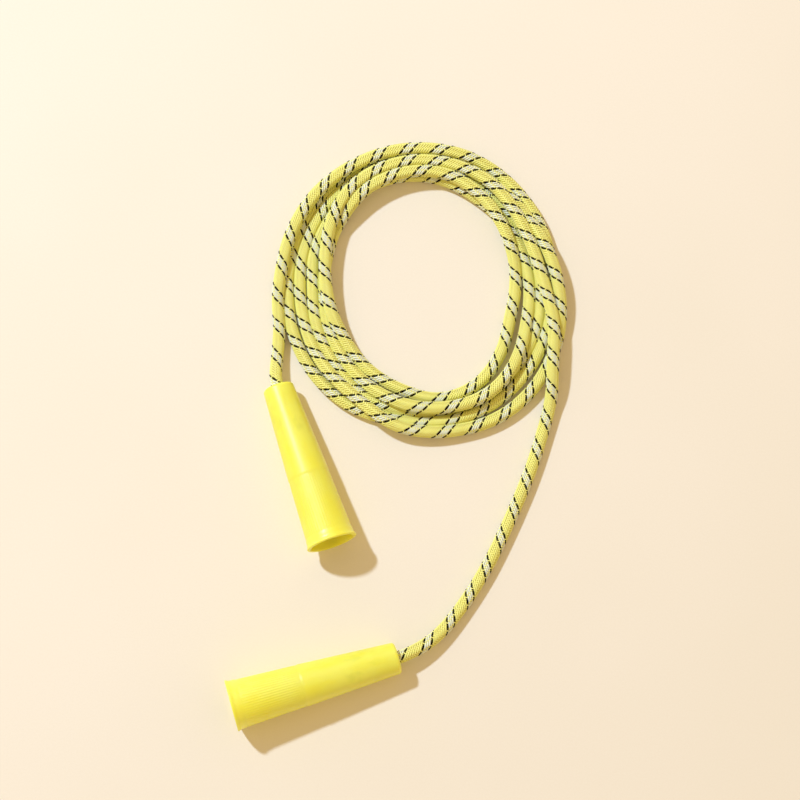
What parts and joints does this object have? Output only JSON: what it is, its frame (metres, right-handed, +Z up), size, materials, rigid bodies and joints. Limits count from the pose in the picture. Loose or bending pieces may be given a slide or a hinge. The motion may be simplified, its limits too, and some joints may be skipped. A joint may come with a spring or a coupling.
{
  "type": "skipping rope",
  "caption": "Braided skipping rope laid in a loose coil, with a hollow tapered ribbed handle that spins on a stopper knot at each end.",
  "frame": {"origin": "middle of the two handles' box, on the surface that they lie on", "axes": "+Z up; +Y from handle B towards handle A and the coil; +X to the coil's side"},
  "size_m": [0.2052, 0.3617, 0.0308],
  "materials": {
    "handle_plastic": "glossy translucent moulded polyethylene",
    "rope_braid": "round braided polypropylene with one pale band and two black dashed tracers",
    "sealed_end": "melted and smoothed by heat"
  },
  "bodies": {
    "rope": {"rope_coil": "rope_braid", "rope_tail_a": "rope_braid", "rope_tail_b": "rope_braid"},
    "handle_a": {"handle_a": "handle_plastic"},
    "handle_b": {"handle_b": "handle_plastic"},
    "knot_a": {"knot_a": "rope_braid", "rope_tip_a": "sealed_end"},
    "knot_b": {"knot_b": "rope_braid", "rope_tip_b": "sealed_end"}
  },
  "joints": [
    {"name": "handle_a_spin", "type": "hinge", "parent": "rope", "child": "handle_a", "pos_m": [-0.02293, 0.10215, 0.00936], "axis": [0.3299, -0.9421, 0.0595], "continuous": true},
    {"name": "handle_b_spin", "type": "hinge", "parent": "rope", "child": "handle_b", "pos_m": [0.04994, -0.06133, 0.00936], "axis": [-0.9576, -0.2818, 0.0595], "continuous": true},
    {"name": "knot_a_slide", "type": "slide", "parent": "rope", "child": "knot_a", "axis": [0.3299, -0.9421, 0.0595], "range_m": [0, 0.095]},
    {"name": "knot_b_slide", "type": "slide", "parent": "rope", "child": "knot_b", "axis": [-0.9576, -0.2818, 0.0595], "range_m": [0, 0.095]}
  ]
}
